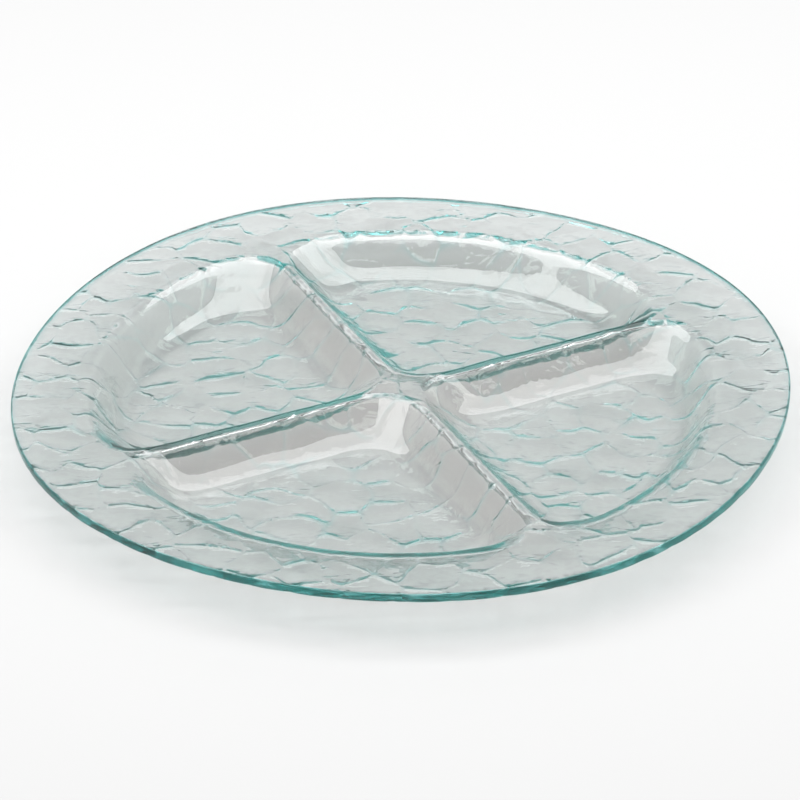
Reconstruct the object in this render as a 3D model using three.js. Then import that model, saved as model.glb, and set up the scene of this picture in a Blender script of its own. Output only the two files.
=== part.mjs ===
// Chip and dip server: one round sheet of textured float glass, slumped into four wells.
// Millimetres, +Z up. The origin is on the table, under the middle of the platter.
import * as THREE from "three";
import { mergeVertices } from "three/addons/utils/BufferGeometryUtils.js";

// Driving dimensions.
const THICKNESS = 5; // of the glass, measured upright
const RIM_RADIUS = 203; // mean radius of the outer edge
const RIM_LOBE = 2.2; // the sheet is drawn in this much over the wells, and left out as much at the dividers
const RIM_HEIGHT = 26; // top of the outer edge above the table
const SHOULDER_DROP = 1; // how far the rim falls from the outer edge to the wells
const DIVIDER_DROP = 2; // how far the dividers' crests lie below the outer edge
const DIVIDER_DIP_RADIUS = 130; // inside this radius the crests lie at their lowest
const DIVIDER_TURN = THREE.MathUtils.degToRad(26); // one divider's direction from +X
const WELL_RADIUS = 167; // where the rim turns down into the wells
const WALL_SLOPE = THREE.MathUtils.degToRad(52); // steepest part of a well's wall
const WALL_DEPTH = 19.5; // drop of a wall that has the mean height of the rim and the dividers
const CREST_BEND = 2.6; // radius of the bend at the top of a divider's wall
const RIM_BEND = 10; // radius of the bend at the top of a well's outer wall
const UNDER_RIM_BEND = 5.5; // the same bend on the underside, so that the wall keeps its thickness
const BEND_BLEND = 14; // half the distance over which one bend becomes the other
const FOOT_BEND = 14; // radius of the bend at the foot of a wall
const DIVIDER_THINNING = 1.7; // the sheet is this much thinner over the dividers
const THINNING_START = 8; // distances into a well between which the sheet regains its thickness
const THINNING_END = 34;
const CENTRE_CORNER = 28; // reach of the rounding in plan where the dividers cross
const OUTER_CORNER = 30; // reach of the rounding in plan between a divider and the rim
const EDGE_ROUND = 1.8; // radius on both corners of the ground outer edge

// How finely the sheet is divided.
const SPOKES = 72;
const SPOKE_BUNCHING = 0.5; // 0 spreads the spokes evenly, 1 crowds them all onto the dividers
const FLOOR_STEP = 11; // ring spacing over the wells' floors
const WALL_STEP = 4.2; // ring spacing over the outer walls
const WALL_BAND = 31; // width of the band of closely spaced rings inside the well radius
const RIM_RINGS = 2; // rings between the well radius and the rounded edge
const EDGE_STEPS = 3; // flats on each rounded corner of the edge

const FLOOR_TOP = THICKNESS;
const BEND_DROP = 1 - Math.cos(WALL_SLOPE);

// Drop below a wall's shoulder, at a distance into the well: a bend, a straight and a second bend.
function wallDrop(distance, bend, foot) {
  const straight = (WALL_DEPTH - (bend + foot) * BEND_DROP) / Math.sin(WALL_SLOPE);
  const straightStart = bend * Math.sin(WALL_SLOPE);
  const footStart = straightStart + straight * Math.cos(WALL_SLOPE);
  const wallEnd = footStart + foot * Math.sin(WALL_SLOPE);
  if (distance <= 0) return 0;
  if (distance < straightStart) return bend - Math.sqrt(bend ** 2 - distance ** 2);
  if (distance < footStart) {
    return bend * BEND_DROP + (distance - straightStart) * Math.tan(WALL_SLOPE);
  }
  if (distance < wallEnd) {
    return WALL_DEPTH - foot + Math.sqrt(foot ** 2 - (wallEnd - distance) ** 2);
  }
  return WALL_DEPTH;
}

// Distance from two walls that meet in a corner, which is round in plan and less steep than the walls.
function roundedCorner(a, b, reach) {
  const apart = Math.min(Math.abs(a - b), reach);
  return Math.min(a, b) - (reach - apart) ** 2 / (4 * reach);
}

// How far a point in plan lies inside its well, and how far its outer wall, not a divider, is the nearer.
// The distance is negative on the rim and where the dividers cross.
function wellWall(x, y) {
  const along = Math.abs(x * Math.cos(DIVIDER_TURN) + y * Math.sin(DIVIDER_TURN));
  const across = Math.abs(y * Math.cos(DIVIDER_TURN) - x * Math.sin(DIVIDER_TURN));
  const fromDividers = roundedCorner(along, across, CENTRE_CORNER);
  const fromRim = WELL_RADIUS - Math.hypot(x, y);
  return {
    distance: roundedCorner(fromDividers, fromRim, OUTER_CORNER),
    outer: THREE.MathUtils.smoothstep(fromDividers - fromRim, -BEND_BLEND, BEND_BLEND),
  };
}

// Height of the highest glass at a radius: the rim outside the wells, the dividers' crests inside.
function crestHeight(radius) {
  const rim = THREE.MathUtils.clamp((radius - WELL_RADIUS) / (RIM_RADIUS - WELL_RADIUS), 0, 1);
  const dip = 1 - THREE.MathUtils.smoothstep(radius, DIVIDER_DIP_RADIUS, WELL_RADIUS);
  return RIM_HEIGHT - SHOULDER_DROP * (1 - rim) - (DIVIDER_DROP - SHOULDER_DROP) * dip;
}

// Height of the sheet's top face, or of the underside moved up by the thickness.
function faceHeight(x, y, rimBend) {
  const crest = crestHeight(Math.hypot(x, y));
  const { distance, outer } = wellWall(x, y);
  const bend = THREE.MathUtils.lerp(CREST_BEND, rimBend, outer);
  const foot = FOOT_BEND + (RIM_BEND - rimBend) * outer;
  return crest - (crest - FLOOR_TOP) * (wallDrop(distance, bend, foot) / WALL_DEPTH);
}

// How much thinner the sheet is, over the dividers only.
function thinning(x, y) {
  const inner = 1 - THREE.MathUtils.smoothstep(Math.hypot(x, y), DIVIDER_DIP_RADIUS, WELL_RADIUS);
  const { distance } = wellWall(x, y);
  const near = 1 - THREE.MathUtils.smoothstep(distance, THINNING_START, THINNING_END);
  return DIVIDER_THINNING * inner * near;
}

// Radii of the rings on one face, from the middle to where the edge starts to round.
function ringRadii() {
  const radii = [];
  for (let r = 0; r < WELL_RADIUS - WALL_BAND; r += FLOOR_STEP) radii.push(r);
  for (let r = WELL_RADIUS; r > WELL_RADIUS - WALL_BAND; r -= WALL_STEP) radii.push(r);
  const edgeStart = RIM_RADIUS - EDGE_ROUND;
  for (let i = 1; i <= RIM_RINGS + 1; i++) {
    radii.push(THREE.MathUtils.lerp(WELL_RADIUS, edgeStart, i / (RIM_RINGS + 1)));
  }
  return radii.sort((a, b) => a - b);
}

// A closed half section of the flat sheet: bottom face outwards, rounded edge, top face inwards.
function sheetSection() {
  const radii = ringRadii();
  const bottom = radii.map((r) => new THREE.Vector2(r, 0));
  const top = radii.map((r) => new THREE.Vector2(r, THICKNESS)).reverse();
  const edge = [];
  for (const [height, from] of [[EDGE_ROUND, -Math.PI / 2], [THICKNESS - EDGE_ROUND, 0]]) {
    for (let i = 0; i <= EDGE_STEPS; i++) {
      const angle = from + (i / EDGE_STEPS) * (Math.PI / 2);
      const r = RIM_RADIUS - EDGE_ROUND + EDGE_ROUND * Math.cos(angle);
      edge.push(new THREE.Vector2(r, height + EDGE_ROUND * Math.sin(angle)));
    }
  }
  return [...bottom, ...edge.slice(1, -1), ...top];
}

// Moves a point of the flat sheet to its place on the slumped one.
function slump(point) {
  const radius = Math.hypot(point.x, point.y);
  const turn = Math.atan2(point.y, point.x);
  const angle = DIVIDER_TURN + turn - (SPOKE_BUNCHING / 4) * Math.sin(4 * turn);
  const lobe = RIM_LOBE * Math.cos(4 * (angle - DIVIDER_TURN));
  const spread = radius + lobe * THREE.MathUtils.smoothstep(radius, WELL_RADIUS, RIM_RADIUS);
  const x = spread * Math.cos(angle);
  const y = spread * Math.sin(angle);
  const top = faceHeight(x, y, RIM_BEND);
  const bottom = faceHeight(x, y, UNDER_RIM_BEND) - THICKNESS + thinning(x, y);
  return point.set(x, y, THREE.MathUtils.lerp(bottom, top, point.z / THICKNESS));
}

// Leaves out the triangles that the turned section closes to nothing on its axis.
function withoutEmptyTriangles(geometry) {
  const old = geometry.index.array;
  const kept = [];
  for (let i = 0; i < old.length; i += 3) {
    const [a, b, c] = [old[i], old[i + 1], old[i + 2]];
    if (a !== b && b !== c && c !== a) kept.push(a, b, c);
  }
  geometry.setIndex(kept);
  return geometry;
}

// The whole platter: a flat disc turned from its section, then slumped.
function platterGeometry() {
  const turned = new THREE.LatheGeometry(sheetSection(), SPOKES);
  turned.rotateX(Math.PI / 2);
  turned.deleteAttribute("normal");
  turned.deleteAttribute("uv");
  const sheet = withoutEmptyTriangles(mergeVertices(turned, 1e-3));
  const positions = sheet.attributes.position;
  const point = new THREE.Vector3();
  for (let i = 0; i < positions.count; i++) {
    slump(point.fromBufferAttribute(positions, i));
    positions.setXYZ(i, point.x, point.y, point.z);
  }
  sheet.computeVertexNormals();
  return sheet;
}

const glass = new THREE.MeshStandardMaterial({
  color: 0xc3d6d2,
  roughness: 0.05,
  metalness: 0,
  transparent: true,
  opacity: 0.4,
});

const platter = new THREE.Mesh(platterGeometry(), glass);
platter.name = "glass_platter";

const server = new THREE.Group();
server.add(platter);

export default server;
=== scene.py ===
"""Looks of the chip and dip server: one sheet of cobbled float glass, slumped into four wells.

Metres, +Z up. The origin is on the table, under the middle of the platter.
"""
import math

import bpy
import numpy as np
from mathutils import Matrix, Vector, geometry


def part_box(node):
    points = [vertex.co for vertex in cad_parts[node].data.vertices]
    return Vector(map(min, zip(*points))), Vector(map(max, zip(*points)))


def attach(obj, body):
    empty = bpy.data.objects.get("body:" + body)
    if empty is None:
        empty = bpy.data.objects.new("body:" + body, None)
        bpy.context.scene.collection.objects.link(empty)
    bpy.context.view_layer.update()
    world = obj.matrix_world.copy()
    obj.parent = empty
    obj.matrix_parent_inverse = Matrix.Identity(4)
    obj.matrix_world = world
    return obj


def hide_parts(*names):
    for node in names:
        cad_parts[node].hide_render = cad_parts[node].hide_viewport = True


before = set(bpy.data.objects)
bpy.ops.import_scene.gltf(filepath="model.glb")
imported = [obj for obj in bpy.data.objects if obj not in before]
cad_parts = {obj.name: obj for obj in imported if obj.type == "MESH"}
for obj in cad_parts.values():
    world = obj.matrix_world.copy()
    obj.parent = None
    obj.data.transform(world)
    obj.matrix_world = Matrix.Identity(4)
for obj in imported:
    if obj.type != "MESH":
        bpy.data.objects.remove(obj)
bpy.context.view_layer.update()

MM = 0.001
NODE = "glass_platter"

# The slumped sheet, as in the CAD part.
THICKNESS = 5 * MM  # measured upright
RIM_RADIUS = 202.99 * MM  # a hair inside the CAD part
RIM_LOBES = 4  # one at each end of the dividers
RIM_LOBE = 2.2 * MM  # the rim stands out this much at the dividers and in as much over the wells
RIM_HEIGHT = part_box(NODE)[1].z
SHOULDER_DROP = 1 * MM  # how far the rim falls from its outer edge to the wells
DIVIDER_DROP = 2 * MM  # how far the dividers' crests lie below the outer edge
DIVIDER_DIP_RADIUS = 130 * MM  # inside this radius the crests lie at their lowest
DIVIDER_TURN = math.radians(26)  # one divider's direction from +X
WELL_RADIUS = 167 * MM  # where the rim turns down into the wells
WALL_SLOPE = math.radians(52)  # steepest part of a well's wall
WALL_DEPTH = 19.5 * MM  # drop of a wall that has the mean height of the rim and the dividers
CREST_BEND = 2.6 * MM  # radius of the bend at the top of a divider's wall
RIM_BEND = 10 * MM  # radius of the bend at the top of a well's outer wall
UNDER_RIM_BEND = 5.5 * MM  # the same bend on the underside, so that the wall keeps its thickness
BEND_BLEND = 14 * MM  # half the distance over which one bend becomes the other
FOOT_BEND = 14 * MM  # radius of the bend at the foot of a wall
DIVIDER_THINNING = 1.7 * MM  # the sheet is this much thinner over the dividers
THINNING_START = 8 * MM  # distances into a well between which the sheet regains its thickness
THINNING_END = 34 * MM
CENTRE_CORNER = 28 * MM  # reach of the rounding in plan where the dividers cross
OUTER_CORNER = 30 * MM  # reach of the rounding in plan between a divider and the rim
EDGE_ROUND = 1.2 * MM  # radius on both corners of the ground outer edge
BEND_DROP = 1 - math.cos(WALL_SLOPE)

# The cobbles on the underside.
COBBLE_SPACING = 23 * MM
COBBLE_STRETCH = 1.12  # the cobbles are drawn out this much along X, and narrowed as much along Y
COBBLE_JITTER = 0.275  # how far the cobbles' middles are scattered, as a share of the spacing
COBBLE_RELAX = 2  # rounds that even out the cobbles' sizes
RELAX_SAMPLES = 9  # samples in each spacing, for evening out
COBBLE_MARGIN = 2 * COBBLE_SPACING  # how far the cobbles go on past the rim
DOME_RISE = 0.35 * MM  # how far a cobble's border stands above its middle
DOME_REACH = 11 * MM  # how far from its border a cobble is domed
# How far the creases wander, and over what length.
WANDER = ((3 * MM, 42 * MM), (1.9 * MM, 22 * MM), (0.4 * MM, 9 * MM))
WANDER_FADE = (16 * MM, 2 * MM)  # distances from the outer edge between which the wandering dies out

# The creases between the cobbles.
CREASE_DEPTH = 0.4 * MM
CREASE_FADE = 0.6  # creases that run along Y are this much shallower than those along X
CREASE_REACH = 1.9 * MM  # half the width of a crease
CREASE_ROUND = 0.2 * MM  # radius at the bottom of a crease
STRENGTH_MEAN = 0.7  # the creases' strength, as a share of their depth
STRENGTH_SWING = 0.5  # about how far the strength swings to either side of its mean
STRENGTH_LENGTH = 38 * MM  # over which it swings
STRENGTH_LIMITS = (0.05, 1.3)

# The soft waves on the top face.
TOP_WAVE = 0.16 * MM
TOP_WAVE_LENGTH = 30 * MM
TOP_WAVE_FADE = 12 * MM  # the waves die out over this distance from the outer edge

# Random fields. Each is a sum of plane waves.
WAVE_COUNT = 14
WAVE_PITCH = (0.7, 1.5)  # range of the waves' lengths, as a share of the field's own
SEED = 20  # of the cobbles
TOP_WAVE_SEED = SEED + 3
STRENGTH_SEED = SEED + 4
WANDER_SEEDS = (SEED + 10, SEED + 20)  # of the shifts along X and along Y

# How finely the mesh is divided.
COARSE_STEP = 3.2 * MM
# Distances into a well where the step is halved, and halved again.
FINE_BANDS = ((-3.5 * MM, 10 * MM), (-1 * MM, 3 * MM))
CREASE_STEP = 2 * MM  # along a crease
CREASE_LINES = (0.45 * MM, 1 * MM, 1.7 * MM)  # offsets of the lines of points on each side of a crease
CREASE_GAP = 0.42 * MM  # a crease's points nearer than this to another are left out
CREASE_SLACK = 0.05 * MM  # a point may be this much nearer to another crease than to its own
CREASE_END = 3 * MM  # the creases' points stop this far from the outer edge
SHORTEST_CREASE = 0.001 * MM
GRID_GAP = 0.5 * MM  # least distance from a crease's outermost lines to the grid
RIM_GAP = 1.2 * MM  # least distance from the rim's ring of points to the grid
RIM_STEPS = 720  # points in each ring round the outline
EDGE_STEPS = 4  # flats on each rounded corner of the edge
NEGLIGIBLE = 1e-9  # points nearer than this count as one
LEAST_AREA = 1e-14  # twice the area, in square metres, of the smallest triangle that is kept
CHUNK = 4000  # points measured at a time, to spare memory

# The glass. Its textures' scales are in repeats per metre, each with a detail.
IOR = 1.52
DEPTH_TINT = (0.24, 0.8, 0.78)  # of the light that has come through the glass
DEPTH_DENSITY = 25  # absorption per metre of a colour that the tint has none of
BODY_TINTS = ((0.81, 0.772, 0.768), (0.85, 0.812, 0.808))  # the clouds run from one to the other
# painted shade: the steep walls of the wells are darker, standing in for the shaded floor seen through them
PAINTED_WALL_SHADE = (0.765, 0.738, 0.728)
# painted shade: dark teal lines in the creases, standing in for the dark lines that light reflected inside
# the glass makes there
PAINTED_CREASE_SHADE = (0.55, 0.76, 0.76)
EDGE_TINTS = ((0.035, 0.3, 0.3), (0.2, 0.62, 0.62))  # of the dark and the pale streaks
EDGE_SHARE = 0.35  # how much of the edge's tint the outermost ring of the underside takes
WALL_SHADE_RANGE = (0.2, 0.9)  # where the walls' painted shade comes in: 0 is a wall's crest or foot, 1 is half way down
CREASE_SHADE_RANGE = (0.1, 0.9)  # depths, as a share of CREASE_DEPTH, between which the crease's painted shade comes in
CLOUD = (22, 2)  # soft clouds in the body's tint and the roughness
ROUGHEST = 0.04  # roughness where the clouds are thickest
STREAK = (70, 3)  # streaks along the ground edge
STREAK_RANGE = (0.42, 0.62)
GRAIN = (150, 1)  # of the underside
HATCH_SCALE = 110
HATCH_STRETCH = (0.55, 1.3, 1)
HATCH_WIDTH = 0.12  # of a fine crease, as a share of its cell
HATCH_WEIGHT = 0.35  # height of a fine crease against the grain's
PATCH = (45, 2)  # patches where the fine creases show
PATCH_RANGE = (0.5, 0.68)
BUMP_DISTANCE = 0.3 * MM

# The floor, the studio and the camera.
FLOOR_SIZE = 12
FLOOR_GAP = 0.2 * MM  # keeps the floor from lying in the underside's own plane
FLOOR_GREY = 0.445
FLOOR_ROUGHNESS = 0.9
SOFTBOX_SIZE = (3.6, 1.85)
SOFTBOX_PLACE = (0, 0.175, 1.5)
SOFTBOX_WATTS = 85
STUDIO_WALLS = ((4, 0.7), (18, 0.7), (24, 1.1), (30, 1.1), (39, 0.2))  # elevation in degrees, brightness
CAMERA_ELEVATION = math.radians(30.9)
CAMERA_ROLL = math.radians(-0.56)
CAMERA_DISTANCE = 2.254
CAMERA_TARGET = Vector((-0.001, -0.0053, 0.0171))
CAMERA_LENS = 194.7  # in millimetres, as is the sensor's width
CAMERA_SENSOR = 36
LIGHT_BOUNCES = 32


def smooth(x, low, high):
    """0 below low, 1 above high and a smooth rise between them."""
    t = np.clip((x - low) / (high - low), 0, 1)
    return t * t * (3 - 2 * t)


def waves(points, length, seed):
    """A smooth random field of the given wavelength, about -1 to 1."""
    rng = np.random.default_rng(seed)
    turn = rng.uniform(0, 2 * math.pi, WAVE_COUNT)
    pitch = 2 * math.pi / (length * rng.uniform(*WAVE_PITCH, WAVE_COUNT))
    phase = rng.uniform(0, 2 * math.pi, WAVE_COUNT)
    total = np.zeros(len(points))
    for t, k, p in zip(turn, pitch, phase):
        total += np.sin(k * (points[:, 0] * math.cos(t) + points[:, 1] * math.sin(t)) + p)
    return total / math.sqrt(WAVE_COUNT)


def wall_drop(distance, bend, foot):
    """Drop below a wall's shoulder at a distance into the well: a bend, a straight and a second bend."""
    straight = (WALL_DEPTH - (bend + foot) * BEND_DROP) / math.sin(WALL_SLOPE)
    straight_start = bend * math.sin(WALL_SLOPE)
    foot_start = straight_start + straight * math.cos(WALL_SLOPE)
    wall_end = foot_start + foot * math.sin(WALL_SLOPE)
    d = np.clip(distance, 0, wall_end)
    shoulder = bend - np.sqrt(np.maximum(bend**2 - d**2, 0))
    slope = bend * BEND_DROP + (d - straight_start) * math.tan(WALL_SLOPE)
    end = WALL_DEPTH - foot + np.sqrt(np.maximum(foot**2 - (wall_end - d) ** 2, 0))
    return np.where(d < straight_start, shoulder, np.where(d < foot_start, slope, end))


def rounded_corner(a, b, reach):
    """Distance from two walls that meet in a corner, which is round in plan and less steep than the walls."""
    apart = np.minimum(np.abs(a - b), reach)
    return np.minimum(a, b) - (reach - apart) ** 2 / (4 * reach)


def well_wall(p):
    """How far points lie inside their well, and how far its outer wall, not a divider, is the nearer: 0 to 1.

    The distance is negative on the rim and where the dividers cross.
    """
    cos, sin = math.cos(DIVIDER_TURN), math.sin(DIVIDER_TURN)
    along = np.abs(p[:, 0] * cos + p[:, 1] * sin)
    across = np.abs(p[:, 1] * cos - p[:, 0] * sin)
    from_dividers = rounded_corner(along, across, CENTRE_CORNER)
    from_rim = WELL_RADIUS - np.hypot(p[:, 0], p[:, 1])
    outer = smooth(from_dividers - from_rim, -BEND_BLEND, BEND_BLEND)
    return rounded_corner(from_dividers, from_rim, OUTER_CORNER), outer


def fallen(p, rim_bend):
    """How far the sheet has come down from its crest to the floor, 0 to 1, with a given bend at the rim."""
    distance, outer = well_wall(p)
    bend = CREST_BEND + (rim_bend - CREST_BEND) * outer
    foot = FOOT_BEND + (RIM_BEND - rim_bend) * outer
    return wall_drop(distance, bend, foot) / WALL_DEPTH


def dipped(radius):
    """1 where the dividers' crests lie at their lowest, 0 on the rim."""
    return 1 - smooth(radius, DIVIDER_DIP_RADIUS, WELL_RADIUS)


def face_height(p, rim_bend):
    """Height of the sheet's smooth top face, or of the underside moved up by the thickness."""
    radius = np.hypot(p[:, 0], p[:, 1])
    rim = np.clip((radius - WELL_RADIUS) / (RIM_RADIUS - WELL_RADIUS), 0, 1)
    crest = RIM_HEIGHT - SHOULDER_DROP * (1 - rim) - (DIVIDER_DROP - SHOULDER_DROP) * dipped(radius)
    return crest - (crest - THICKNESS) * fallen(p, rim_bend)


def thinning(p):
    """How much thinner the sheet is, over the dividers only."""
    inside, _ = well_wall(p)
    divider = dipped(np.hypot(p[:, 0], p[:, 1]))
    return DIVIDER_THINNING * divider * (1 - smooth(inside, THINNING_START, THINNING_END))


def lobed(p):
    """Spreads the round sheet's rim into its shallow lobes."""
    radius = np.hypot(p[:, 0], p[:, 1])
    turn = np.arctan2(p[:, 1], p[:, 0])
    lobe = RIM_LOBE * np.cos(RIM_LOBES * (turn - DIVIDER_TURN))
    spread = 1 + lobe * smooth(radius, WELL_RADIUS, RIM_RADIUS) / np.maximum(radius, MM)
    return p * spread[:, None]


def wandered(p):
    """Bends the plan of the cobbles so that no crease is straight. The rim's outline stays round."""
    fade_start, fade_end = (RIM_RADIUS - distance for distance in WANDER_FADE)
    fade = 1 - smooth(np.hypot(p[:, 0], p[:, 1]), fade_start, fade_end)
    shift = np.zeros_like(p)
    for number, (reach, length) in enumerate(WANDER):
        for axis, seed in enumerate(WANDER_SEEDS):
            shift[:, axis] += reach * fade * waves(p, length, seed + number)
    return p + shift / math.sqrt(2)


def triangular_grid(step, radius):
    """Points of a triangular grid within a radius, and each point's level.

    The level says how often, up to twice, the grid's step can be doubled before the point drops out.
    """
    rows = int(radius / (step * math.sqrt(3) / 2)) + 2
    columns = int(radius / step) + 2
    i, j = np.meshgrid(np.arange(-2 * columns, 2 * columns + 1), np.arange(-rows, rows + 1))
    x = (i + j / 2) * step
    y = j * (step * math.sqrt(3) / 2)
    level = ((i | j) % 2 == 0).astype(int) + ((i | j) % 4 == 0)
    keep = np.hypot(x, y) < radius
    return np.stack([x[keep], y[keep]], 1), level[keep]


def cobble_middles():
    """The cobbles' middles: a jittered triangular grid, evened out a little."""
    rng = np.random.default_rng(SEED)
    reach = RIM_RADIUS + COBBLE_MARGIN
    middles, _ = triangular_grid(COBBLE_SPACING, reach)
    middles = middles + rng.normal(0, COBBLE_JITTER, middles.shape) * COBBLE_SPACING
    samples, _ = triangular_grid(COBBLE_SPACING / RELAX_SAMPLES, reach)
    for _ in range(COBBLE_RELAX):
        owner = np.argmin(((samples[:, None] - middles[None]) ** 2).sum(2), 1)
        share = np.maximum(np.bincount(owner, minlength=len(middles)), 1)
        mean_x = np.bincount(owner, samples[:, 0], len(middles)) / share
        mean_y = np.bincount(owner, samples[:, 1], len(middles)) / share
        middles = (middles + np.stack([mean_x, mean_y], 1)) / 2
    return middles * [COBBLE_STRETCH, 1 / COBBLE_STRETCH]


def near_creases(p, middles):
    """Distance from each point to the border of its cobble, and how deep in a crease the point is, 0 to 1."""
    squares = ((p[:, None] - middles[None]) ** 2).sum(2)
    own = middles[np.argmin(squares, 1)]
    step = middles[None] - own[:, None]
    length = np.sqrt((step**2).sum(2))
    safe_length = np.maximum(length, NEGLIGIBLE)
    halfway = (step * ((middles[None] + own[:, None]) / 2 - p[:, None])).sum(2)
    distance = np.where(length > 0, halfway / safe_length, np.inf)
    rounded = np.sqrt(np.maximum(distance, 0) ** 2 + CREASE_ROUND**2) - CREASE_ROUND
    along_y = (step[:, :, 0] / safe_length) ** 2
    depth = (1 - CREASE_FADE * along_y) * np.maximum(1 - rounded / CREASE_REACH, 0) ** 2
    return np.stack([distance.min(1), depth.max(1)], 1)


def in_chunks(function, p, *rest):
    """Runs a function over many points a part at a time, to spare memory."""
    parts = np.array_split(p, max(1, len(p) // CHUNK))
    return np.concatenate([function(part, *rest) for part in parts])


def crease_segments(middles):
    """The straight borders between neighbouring cobbles: the edges of the middles' Voronoi diagram."""
    made = geometry.delaunay_2d_cdt([Vector(m) for m in middles], [], [], 0, NEGLIGIBLE)
    corners = np.array([tuple(corner) for corner in made[0]])
    centres = []
    sides = {}
    for number, face in enumerate(made[2]):
        a, b, c = corners[list(face)]
        system = 2 * np.array([b - a, c - a])
        centres.append(np.linalg.solve(system, [b @ b - a @ a, c @ c - a @ a]))
        for side in zip(face, face[1:] + face[:1]):
            sides.setdefault(frozenset(side), []).append(number)
    return [(centres[pair[0]], centres[pair[1]]) for pair in sides.values() if len(pair) == 2]


def crease_rows(start, end):
    """Rows of points along one crease and beside it, each point with its distance from the crease."""
    length = np.hypot(*(end - start))
    if min(np.hypot(*start), np.hypot(*end)) > RIM_RADIUS or length < SHORTEST_CREASE:
        return []
    along = (end - start) / length
    normal = np.array([-along[1], along[0]])
    steps = np.linspace(0, 1, max(2, round(length / CREASE_STEP) + 1))[:, None]
    line = start + steps * (end - start)
    offsets = [0.0, *(side * offset for offset in CREASE_LINES for side in (1, -1))]
    return [np.column_stack([line + offset * normal, np.full(len(line), abs(offset))]) for offset in offsets]


def crease_points(middles):
    """Points along every crease, so that the mesh's edges follow it."""
    points = np.concatenate([row for ends in crease_segments(middles) for row in crease_rows(*ends)])
    points = points[np.hypot(points[:, 0], points[:, 1]) < RIM_RADIUS - CREASE_END]
    near = in_chunks(near_creases, points[:, :2], middles)[:, 0]
    return points[near > points[:, 2] - CREASE_SLACK][:, :2]


def thinned(points, gap):
    """Drops points closer than gap to an earlier one."""
    kept = {}
    result = []
    for x, y in points:
        cell = (math.floor(x / gap), math.floor(y / gap))
        around = [q for i in (-1, 0, 1) for j in (-1, 0, 1) for q in kept.get((cell[0] + i, cell[1] + j), ())]
        if any(math.hypot(x - q[0], y - q[1]) < gap for q in around):
            continue
        kept.setdefault(cell, []).append((x, y))
        result.append((x, y))
    return np.array(result)


def rim_ring():
    """Points of the flat sheet's outline, where the edge begins to round."""
    turn = np.arange(RIM_STEPS) * 2 * math.pi / RIM_STEPS
    radius = RIM_RADIUS - EDGE_ROUND
    return np.stack([radius * np.cos(turn), radius * np.sin(turn)], 1)


def face_points(place):
    """Points over one face: a coarse grid, finer near the shoulders. place says where a point ends up."""
    grid, level = triangular_grid(COARSE_STEP / 4, RIM_RADIUS - EDGE_ROUND - RIM_GAP)
    inside, _ = well_wall(place(grid))
    keep = level == 2
    for least, (low, high) in zip((1, 0), FINE_BANDS):
        keep |= (level >= least) & (inside > low) & (inside < high)
    return grid[keep]


def triangles_of(points):
    """Delaunay triangles of points in plan, facing up."""
    made = geometry.delaunay_2d_cdt([Vector(p) for p in points], [], [], 0, NEGLIGIBLE)
    if len(made[0]) != len(points):
        raise RuntimeError("the triangulation changed the points")
    # The output's vertices may come in another order than the input's.
    order = np.array([origin[0] for origin in made[3]])
    faces = order[np.array(made[2])]
    a, b, c = points[faces[:, 0]], points[faces[:, 1]], points[faces[:, 2]]
    area = (b[:, 0] - a[:, 0]) * (c[:, 1] - a[:, 1]) - (b[:, 1] - a[:, 1]) * (c[:, 0] - a[:, 0])
    faces[area < 0] = faces[area < 0][:, ::-1]
    return faces[np.abs(area) > LEAST_AREA]


def top_surface():
    """The smooth top face: points in space and triangles facing up. Its first points are the rim's."""
    plan = np.concatenate([rim_ring(), face_points(lambda p: p)])
    place = lobed(plan)
    calm = smooth(RIM_RADIUS - np.hypot(plan[:, 0], plan[:, 1]), 0, TOP_WAVE_FADE)
    wave = TOP_WAVE * waves(place, TOP_WAVE_LENGTH, TOP_WAVE_SEED) * calm
    height = np.minimum(face_height(place, RIM_BEND) + wave, RIM_HEIGHT)
    return np.column_stack([place, height]), triangles_of(place)


def crease_depth(place):
    """The creases are deep in some places and almost gone in others."""
    strength = STRENGTH_MEAN + STRENGTH_SWING * waves(place, STRENGTH_LENGTH, STRENGTH_SEED)
    return CREASE_DEPTH * np.clip(strength, *STRENGTH_LIMITS)


def bottom_plan(middles):
    """Points of the underside in the plan of the unbent cobbles. The first are the rim's."""
    creases = crease_points(middles)
    grid = face_points(lambda p: lobed(wandered(p)))
    distance = in_chunks(near_creases, grid, middles)[:, 0]
    grid = grid[distance > CREASE_LINES[-1] + GRID_GAP]
    return np.concatenate([rim_ring(), thinned(creases, CREASE_GAP), grid])


def bottom_surface():
    """The cobbled underside: points in space, triangles facing up, which are turned over later, and depths.

    The depths are those of the creases, as a share of CREASE_DEPTH. The first points are the rim's.
    """
    middles = cobble_middles()
    plan = bottom_plan(middles)
    place = lobed(wandered(plan))
    distance, creased = in_chunks(near_creases, plan, middles).T
    crease = crease_depth(place) * creased
    dome = DOME_RISE * (1 - smooth(distance, -DOME_REACH, DOME_REACH)) * 2
    height = face_height(place, UNDER_RIM_BEND) - THICKNESS + thinning(place) + crease + dome
    return np.column_stack([place, height]), triangles_of(place), crease / CREASE_DEPTH


def edge_rings(bottom, top):
    """Rings of points round the ground outer edge, between the bottom face's rim and the top face's."""
    outward = top[:, :2] / np.hypot(top[:, 0], top[:, 1])[:, None]
    rings = []
    for low in (True, False):
        for step in range(EDGE_STEPS + 1):
            angle = (step / EDGE_STEPS) * math.pi / 2 - (math.pi / 2 if low else 0)
            out = EDGE_ROUND * math.cos(angle)
            rise = EDGE_ROUND * (1 + math.sin(angle)) if low else -EDGE_ROUND * (1 - math.sin(angle))
            base = bottom[:, 2] if low else top[:, 2]
            rings.append(np.column_stack([top[:, :2] + out * outward, base + rise]))
    return rings[1:-1]


def band_faces(starts):
    """Triangles between each ring of points and the next. starts numbers the rings' first points."""
    here = np.arange(RIM_STEPS)
    after = np.roll(here, -1)
    bands = []
    for low, high in zip(starts, starts[1:]):
        bands.append(np.column_stack([low + here, low + after, high + after]))
        bands.append(np.column_stack([low + here, high + after, high + here]))
    return np.concatenate(bands)


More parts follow.
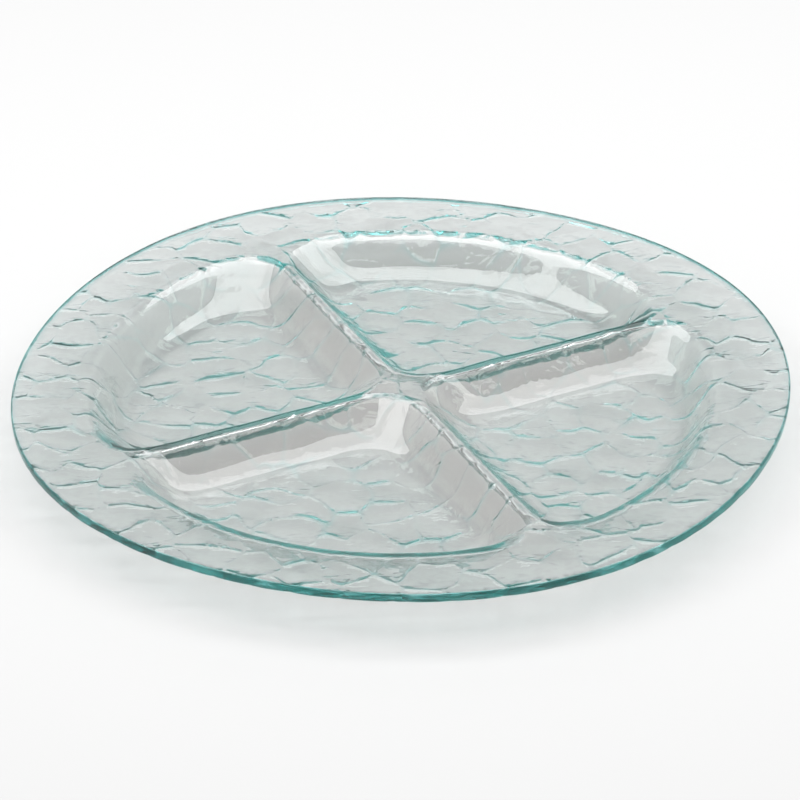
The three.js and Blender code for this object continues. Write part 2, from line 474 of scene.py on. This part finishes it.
def wall_shade_mask(p):
    """1 on the steep walls, 0 on the rim, the floors and the crests: the mask of the walls' painted shade."""
    fall = fallen(p, RIM_BEND)
    return smooth(4 * fall * (1 - fall), *WALL_SHADE_RANGE)


def store(mesh, name, values):
    """Stores a value for each vertex under a name that the material reads."""
    mesh.attributes.new(name, "FLOAT", "POINT").data.foreach_set("value", values)


def platter_mesh():
    """One closed mesh: the underside, the top face and the rounded edge between them."""
    top, top_faces = top_surface()
    bottom, bottom_faces, creased = bottom_surface()
    rings = edge_rings(bottom[:RIM_STEPS], top[:RIM_STEPS])
    points = np.concatenate([bottom, top, *rings])
    first_ring = len(bottom) + len(top)
    starts = [0, *(first_ring + RIM_STEPS * i for i in range(len(rings))), len(bottom)]
    faces = np.concatenate([bottom_faces[:, ::-1], top_faces + len(bottom), band_faces(starts)])
    mesh = bpy.data.meshes.new("platter_glass")
    mesh.from_pydata(points.tolist(), [], faces.tolist())
    mesh.polygons.foreach_set("use_smooth", [True] * len(mesh.polygons))
    edge = np.zeros(len(points))
    edge[:RIM_STEPS] = EDGE_SHARE
    edge[first_ring:] = 1
    store(mesh, "edge", edge)
    # the mask of the painted shade in the creases
    store(mesh, "crease", np.concatenate([creased, np.zeros(len(points) - len(bottom))]))
    # the mask of the painted shade on the walls
    store(mesh, "wall", wall_shade_mask(points[:, :2]))
    store(mesh, "under", np.arange(len(points)) < len(bottom))
    mesh.update()
    return mesh


def noise(tree, place, texture):
    """A noise texture's value. texture is its scale and its detail."""
    node = tree.nodes.new("ShaderNodeTexNoise")
    for name, number in zip(("Scale", "Detail"), texture):
        node.inputs[name].default_value = number
    tree.links.new(place, node.inputs["Vector"])
    return node.outputs["Fac"]


def ranged(tree, value, low, high, to_low=0, to_high=1):
    """Maps a value from one range to another, clamped."""
    node = tree.nodes.new("ShaderNodeMapRange")
    for name, number in (("From Min", low), ("From Max", high), ("To Min", to_low), ("To Max", to_high)):
        node.inputs[name].default_value = number
    tree.links.new(value, node.inputs["Value"])
    return node.outputs["Result"]


def combined(tree, operation, a, b):
    """Adds or multiplies two values. The second may be a number."""
    node = tree.nodes.new("ShaderNodeMath")
    node.operation = operation
    tree.links.new(a, node.inputs[0])
    if isinstance(b, float):
        node.inputs[1].default_value = b
    else:
        tree.links.new(b, node.inputs[1])
    return node.outputs["Value"]


def attribute(tree, name):
    """A value stored on the mesh's vertices."""
    node = tree.nodes.new("ShaderNodeAttribute")
    node.attribute_name = name
    return node.outputs["Fac"]


def mixed(tree, factor, a, b):
    """Mixes two colours. Each is a colour or another node's output."""
    node = tree.nodes.new("ShaderNodeMix")
    node.data_type = "RGBA"
    tree.links.new(factor, node.inputs["Factor"])
    for name, colour in (("A", a), ("B", b)):
        if isinstance(colour, tuple):
            node.inputs[name].default_value = (*colour, 1)
        else:
            tree.links.new(colour, node.inputs[name])
    return node.outputs["Result"]


def hatch(tree, place):
    """Fine broken creases: the borders of small cells, shown only here and there."""
    cells = tree.nodes.new("ShaderNodeTexVoronoi")
    cells.feature = "DISTANCE_TO_EDGE"
    cells.inputs["Scale"].default_value = HATCH_SCALE
    stretch = tree.nodes.new("ShaderNodeMapping")
    stretch.inputs["Scale"].default_value = HATCH_STRETCH
    tree.links.new(place, stretch.inputs["Vector"])
    tree.links.new(stretch.outputs["Vector"], cells.inputs["Vector"])
    lines = ranged(tree, cells.outputs["Distance"], 0, HATCH_WIDTH, 1, 0)
    shown = ranged(tree, noise(tree, place, PATCH), *PATCH_RANGE)
    return combined(tree, "MULTIPLY", lines, shown)


def cast_texture(tree, place):
    """Height of the fine texture that the mould leaves on the underside. The top face is smooth."""
    fine = combined(tree, "MULTIPLY", hatch(tree, place), HATCH_WEIGHT)
    total = combined(tree, "ADD", noise(tree, place, GRAIN), fine)
    return combined(tree, "MULTIPLY", total, attribute(tree, "under"))


def glass_colour(tree, place, cloud):
    """The surface's tint: cloudy over the body, painted shade on the steep walls and in the creases, and its
    own on the ground edge.
    """
    body = mixed(tree, cloud, *BODY_TINTS)
    # painted shade on the steep walls
    body = mixed(tree, attribute(tree, "wall"), body, PAINTED_WALL_SHADE)
    # painted shade in the creases
    creased = mixed(tree, ranged(tree, attribute(tree, "crease"), *CREASE_SHADE_RANGE), body, PAINTED_CREASE_SHADE)
    streak = ranged(tree, noise(tree, place, STREAK), *STREAK_RANGE)
    return mixed(tree, attribute(tree, "edge"), creased, mixed(tree, streak, *EDGE_TINTS))


def add_bump(tree, shader, place):
    """Gives the shader the fine texture of the underside."""
    bump = tree.nodes.new("ShaderNodeBump")
    bump.inputs["Strength"].default_value = 1
    bump.inputs["Distance"].default_value = BUMP_DISTANCE
    tree.links.new(cast_texture(tree, place), bump.inputs["Height"])
    tree.links.new(bump.outputs["Normal"], shader.inputs["Normal"])


def add_absorption(tree):
    """Gives the glass a green tint that grows with the path through it."""
    absorb = tree.nodes.new("ShaderNodeVolumeAbsorption")
    absorb.inputs["Color"].default_value = (*DEPTH_TINT, 1)
    absorb.inputs["Density"].default_value = DEPTH_DENSITY
    tree.links.new(absorb.outputs["Volume"], tree.nodes["Material Output"].inputs["Volume"])


def glass_material():
    """Float glass: green in its depth, darker at its edge, with painted shade in its creases and on its steep
    walls.
    """
    material = bpy.data.materials.new("float_glass")
    material.use_nodes = True
    tree = material.node_tree
    shader = tree.nodes["Principled BSDF"]
    shader.inputs["Transmission Weight"].default_value = 1
    shader.inputs["IOR"].default_value = IOR
    place = tree.nodes.new("ShaderNodeTexCoord").outputs["Object"]
    cloud = noise(tree, place, CLOUD)
    tree.links.new(glass_colour(tree, place, cloud), shader.inputs["Base Color"])
    tree.links.new(ranged(tree, cloud, 0, 1, 0, ROUGHEST), shader.inputs["Roughness"])
    add_bump(tree, shader, place)
    add_absorption(tree)
    return material


def build_platter():
    """The glass sheet as a Blender object, standing for the CAD node."""
    platter = bpy.data.objects.new("platter_glass", platter_mesh())
    bpy.context.scene.collection.objects.link(platter)
    platter.data.materials.append(glass_material())
    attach(platter, "root")
    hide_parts(NODE)


def build_floor():
    """A plain pale floor."""
    bpy.ops.mesh.primitive_plane_add(size=FLOOR_SIZE)
    floor = bpy.context.object
    floor.name = "floor"
    material = bpy.data.materials.new("floor")
    material.use_nodes = True
    shader = material.node_tree.nodes["Principled BSDF"]
    shader.inputs["Base Color"].default_value = (FLOOR_GREY, FLOOR_GREY, FLOOR_GREY, 1)
    shader.inputs["Roughness"].default_value = FLOOR_ROUGHNESS
    shader.inputs["Specular IOR Level"].default_value = 0
    floor.data.materials.append(material)
    floor.location.z = -FLOOR_GAP


def build_softbox():
    """A wide softbox overhead."""
    light = bpy.data.lights.new("softbox", "AREA")
    light.shape = "RECTANGLE"
    light.size, light.size_y = SOFTBOX_SIZE
    light.energy = SOFTBOX_WATTS
    softbox = bpy.data.objects.new("softbox", light)
    softbox.location = SOFTBOX_PLACE
    bpy.context.scene.collection.objects.link(softbox)


def build_studio():
    """A studio with pale walls and a dark ceiling, as the world."""
    world = bpy.data.worlds.new("studio")
    world.use_nodes = True
    nodes, links = world.node_tree.nodes, world.node_tree.links
    direction = nodes.new("ShaderNodeTexCoord")
    split = nodes.new("ShaderNodeSeparateXYZ")
    links.new(direction.outputs["Generated"], split.inputs["Vector"])
    walls = nodes.new("ShaderNodeValToRGB")
    walls.color_ramp.interpolation = "EASE"
    ramp = walls.color_ramp.elements
    while len(ramp) < len(STUDIO_WALLS):
        ramp.new(1)
    for stop, (elevation, brightness) in zip(ramp, STUDIO_WALLS):
        stop.position = math.sin(math.radians(elevation))
        stop.color = (brightness, brightness, brightness, 1)
    links.new(split.outputs["Z"], walls.inputs["Fac"])
    links.new(walls.outputs["Color"], nodes["Background"].inputs["Color"])
    bpy.context.scene.world = world


def build_camera():
    """The camera looks down on the platter from the front, from far off."""
    back = Vector((0, -math.cos(CAMERA_ELEVATION), math.sin(CAMERA_ELEVATION)))
    data = bpy.data.cameras.new("camera")
    data.lens = CAMERA_LENS
    data.sensor_width = CAMERA_SENSOR
    camera = bpy.data.objects.new("camera", data)
    turn = (-back).to_track_quat("-Z", "Y").to_matrix() @ Matrix.Rotation(CAMERA_ROLL, 3, "Z")
    camera.matrix_world = Matrix.Translation(CAMERA_TARGET + back * CAMERA_DISTANCE) @ turn.to_4x4()
    bpy.context.scene.collection.objects.link(camera)
    bpy.context.scene.camera = camera


def set_render():
    """Enough light bounces for light to run inside the glass."""
    scene = bpy.context.scene
    scene.cycles.max_bounces = LIGHT_BOUNCES
    scene.cycles.transmission_bounces = LIGHT_BOUNCES
    scene.cycles.glossy_bounces = LIGHT_BOUNCES
    scene.cycles.blur_glossy = 0
    scene.view_settings.view_transform = "Standard"


build_platter()
build_floor()
build_softbox()
build_studio()
build_camera()
set_render()
